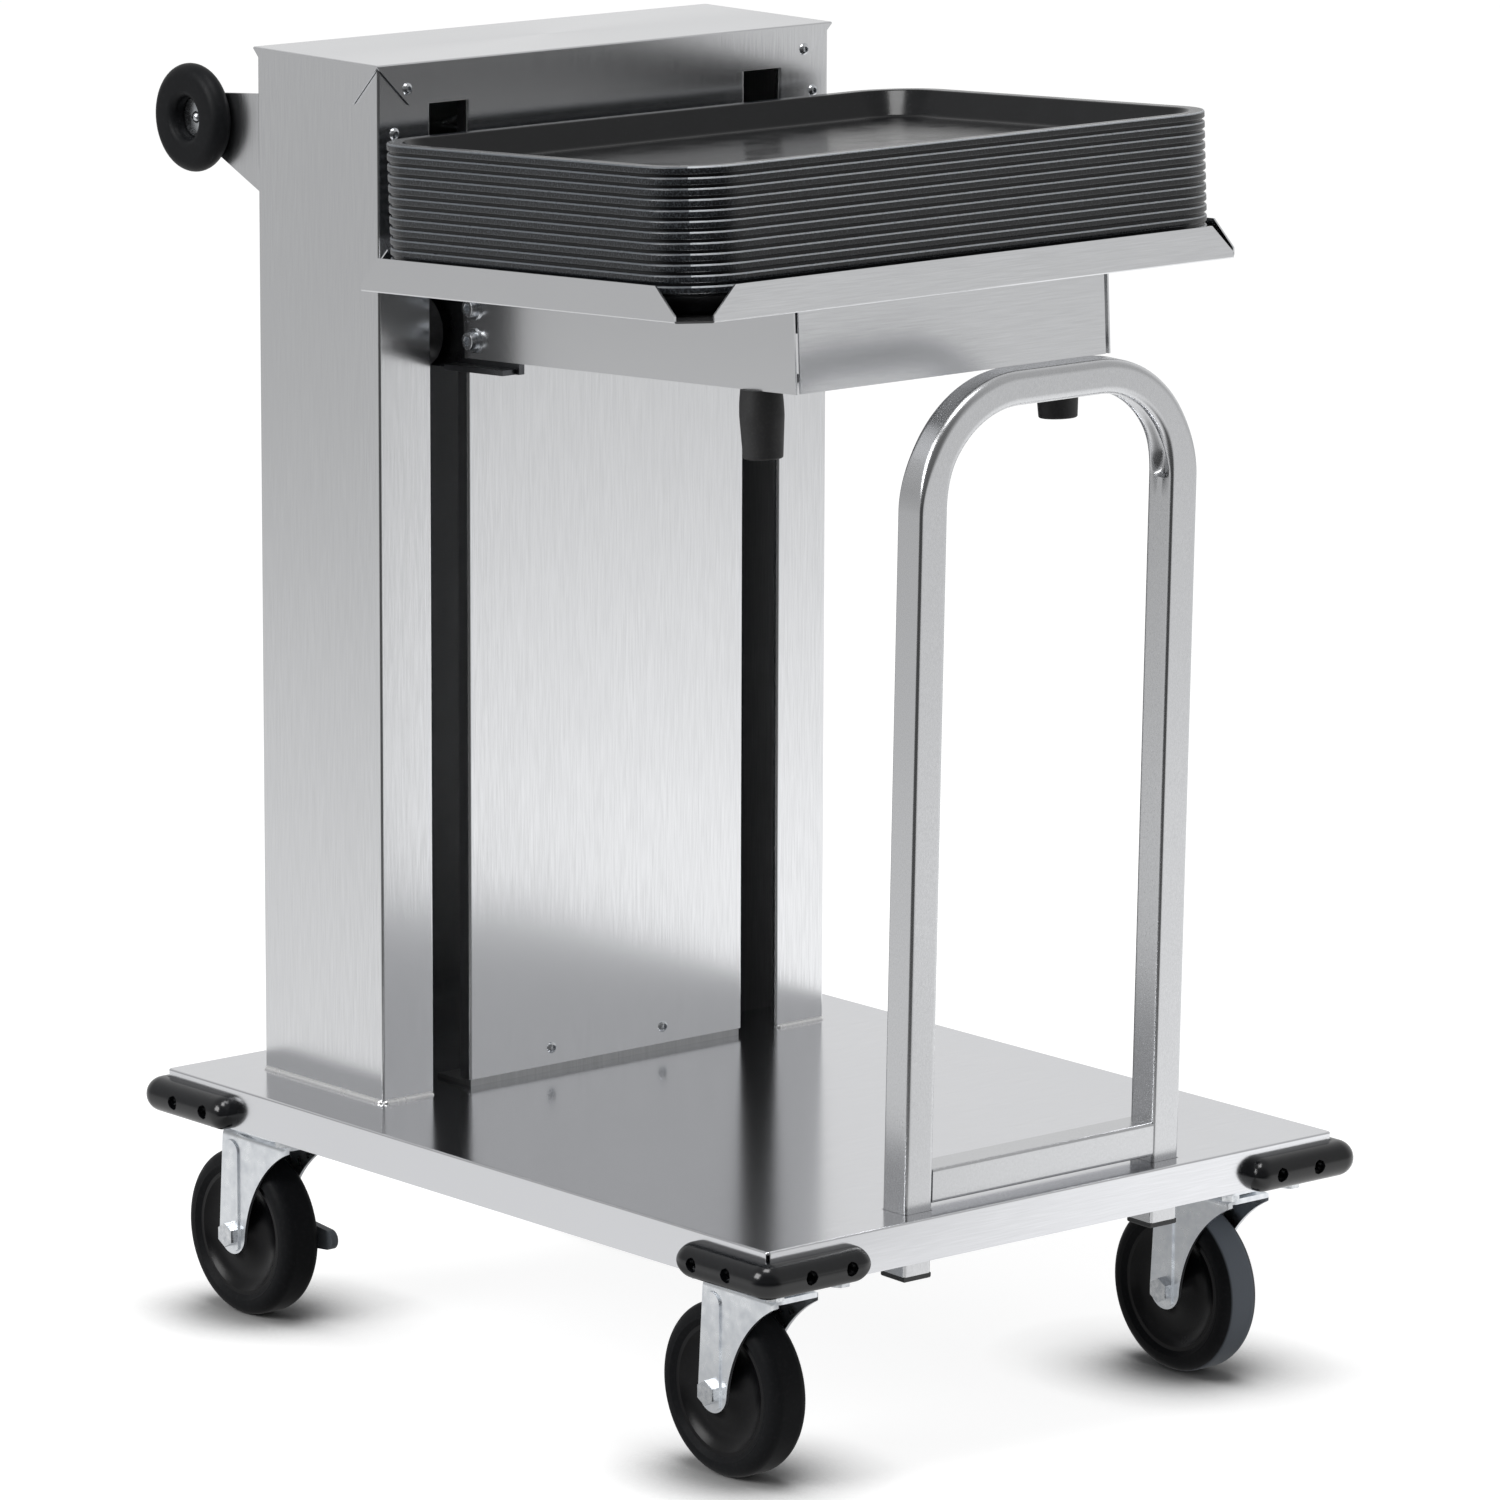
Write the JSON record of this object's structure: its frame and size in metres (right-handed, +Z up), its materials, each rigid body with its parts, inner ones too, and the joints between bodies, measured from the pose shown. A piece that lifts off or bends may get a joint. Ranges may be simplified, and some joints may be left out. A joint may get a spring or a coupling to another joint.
{
  "type": "tray dispenser cart",
  "caption": "Wheeled stainless cart with a spring-lifted tray platform on a slotted column, guard hoop, push handle, corner bumpers and swivel castors.",
  "frame": {"origin": "on the floor, under the middle of the whole outline", "axes": "+Z up, -Y towards the guard hoop, +Y towards the push handle"},
  "size_m": [0.572, 0.7885, 0.96],
  "materials": {
    "stainless": "brushed",
    "zinc": "bright zinc",
    "dark_steel": "satin black",
    "tyre": "matte",
    "wheel_plastic": "semi-gloss",
    "bumper": "satin",
    "black_plastic": "satin",
    "pedal": "satin",
    "rubber": "matte",
    "roller": "satin",
    "tray": "speckled"
  },
  "bodies": {
    "base": {"base_deck": "stainless", "castor_seats": "stainless", "castor_bolts": "zinc", "guard_hoop": "stainless", "hoop_crossbar": "stainless", "hoop_end_caps": "black_plastic", "bumper_screws": "zinc", "column_housing": "stainless", "column_cap": "stainless", "front_panel": "stainless", "foot_angle": "stainless", "guide_rails": "stainless", "dome_screws": "zinc", "spring_hanger": "stainless", "tension_springs": "zinc", "handle_brackets": "stainless", "push_bar": "stainless", "handle_discs": "bumper", "handle_screws": "zinc", "castor_plate_front_left": "zinc", "castor_plate_front_right": "zinc", "castor_plate_rear_left": "zinc", "castor_plate_rear_right": "zinc", "bumper_front_left": "bumper", "bumper_front_right": "bumper", "bumper_rear_left": "bumper", "bumper_rear_right": "bumper"},
    "carriage": {"carriage_arm_left": "dark_steel", "carriage_arm_right": "dark_steel", "carriage_plate": "stainless", "roller_pins": "zinc", "arm_bolts": "zinc", "support_box": "stainless", "tray_platform": "stainless", "buffer_bar": "stainless", "rubber_buffers": "rubber", "tray_stack": "tray"},
    "rollers_upper": {"guide_rollers_upper": "roller"},
    "rollers_lower": {"guide_rollers_lower": "roller"},
    "top_tray": {"tray_top": "tray"},
    "fork_front_left": {"castor_fork_front_left": "zinc", "castor_axle_front_left": "zinc"},
    "wheel_front_left": {"castor_wheel_front_left": "wheel_plastic", "castor_tyre_front_left": "tyre"},
    "fork_front_right": {"castor_fork_front_right": "zinc", "castor_axle_front_right": "zinc"},
    "wheel_front_right": {"castor_wheel_front_right": "wheel_plastic", "castor_tyre_front_right": "tyre"},
    "fork_rear_left": {"castor_fork_rear_left": "zinc", "castor_axle_rear_left": "zinc"},
    "wheel_rear_left": {"castor_wheel_rear_left": "wheel_plastic", "castor_tyre_rear_left": "tyre"},
    "pedal_rear_left": {"brake_pedal_rear_left": "pedal"},
    "fork_rear_right": {"castor_fork_rear_right": "zinc", "castor_axle_rear_right": "zinc"},
    "wheel_rear_right": {"castor_wheel_rear_right": "wheel_plastic", "castor_tyre_rear_right": "tyre"},
    "pedal_rear_right": {"brake_pedal_rear_right": "pedal"}
  },
  "joints": [
    {"name": "platform_lift", "type": "slide", "parent": "base", "child": "carriage", "axis": [0, 0, 1], "range_m": [-0.515, 0.06], "stiffness_N_per_m": 300, "springref_m": 0.46, "deforming": ["tension_springs"]},
    {"name": "upper_roller_spin", "type": "hinge", "parent": "carriage", "child": "rollers_upper", "pos_m": [0, 0.15705, 0.858], "axis": [1, 0, 0], "range_deg": [-1100, 130]},
    {"name": "lower_roller_spin", "type": "hinge", "parent": "carriage", "child": "rollers_lower", "pos_m": [0, 0.15705, 0.758], "axis": [1, 0, 0], "range_deg": [-130, 1100]},
    {"name": "tray_take", "type": "slide", "parent": "carriage", "child": "top_tray", "axis": [0, 0.0523, 0.9986], "range_m": [0, 0.15]},
    {"name": "swivel_front_left", "type": "hinge", "parent": "base", "child": "fork_front_left", "pos_m": [-0.217, -0.31825, 0.14], "axis": [0, 0, 1], "continuous": true},
    {"name": "spin_front_left", "type": "hinge", "parent": "fork_front_left", "child": "wheel_front_left", "pos_m": [-0.217, -0.28025, 0.0635], "axis": [1, 0, 0], "continuous": true},
    {"name": "swivel_front_right", "type": "hinge", "parent": "base", "child": "fork_front_right", "pos_m": [0.217, -0.31825, 0.14], "axis": [0, 0, 1], "continuous": true},
    {"name": "spin_front_right", "type": "hinge", "parent": "fork_front_right", "child": "wheel_front_right", "pos_m": [0.217, -0.28025, 0.0635], "axis": [1, 0, 0], "continuous": true},
    {"name": "swivel_rear_left", "type": "hinge", "parent": "base", "child": "fork_rear_left", "pos_m": [-0.217, 0.24425, 0.14], "axis": [0, 0, 1], "continuous": true},
    {"name": "spin_rear_left", "type": "hinge", "parent": "fork_rear_left", "child": "wheel_rear_left", "pos_m": [-0.217, 0.28225, 0.0635], "axis": [1, 0, 0], "continuous": true},
    {"name": "brake_rear_left", "type": "hinge", "parent": "fork_rear_left", "child": "pedal_rear_left", "pos_m": [-0.217, 0.28225, 0.0635], "axis": [1, 0, 0], "range_deg": [0, 18]},
    {"name": "swivel_rear_right", "type": "hinge", "parent": "base", "child": "fork_rear_right", "pos_m": [0.217, 0.24425, 0.14], "axis": [0, 0, 1], "continuous": true},
    {"name": "spin_rear_right", "type": "hinge", "parent": "fork_rear_right", "child": "wheel_rear_right", "pos_m": [0.217, 0.28225, 0.0635], "axis": [1, 0, 0], "continuous": true},
    {"name": "brake_rear_right", "type": "hinge", "parent": "fork_rear_right", "child": "pedal_rear_right", "pos_m": [0.217, 0.28225, 0.0635], "axis": [1, 0, 0], "range_deg": [0, 18]}
  ],
  "couplings": [
    {"joint": "upper_roller_spin", "follows": "platform_lift", "rad_per_m": 37.037},
    {"joint": "lower_roller_spin", "follows": "platform_lift", "rad_per_m": -37.037}
  ]
}
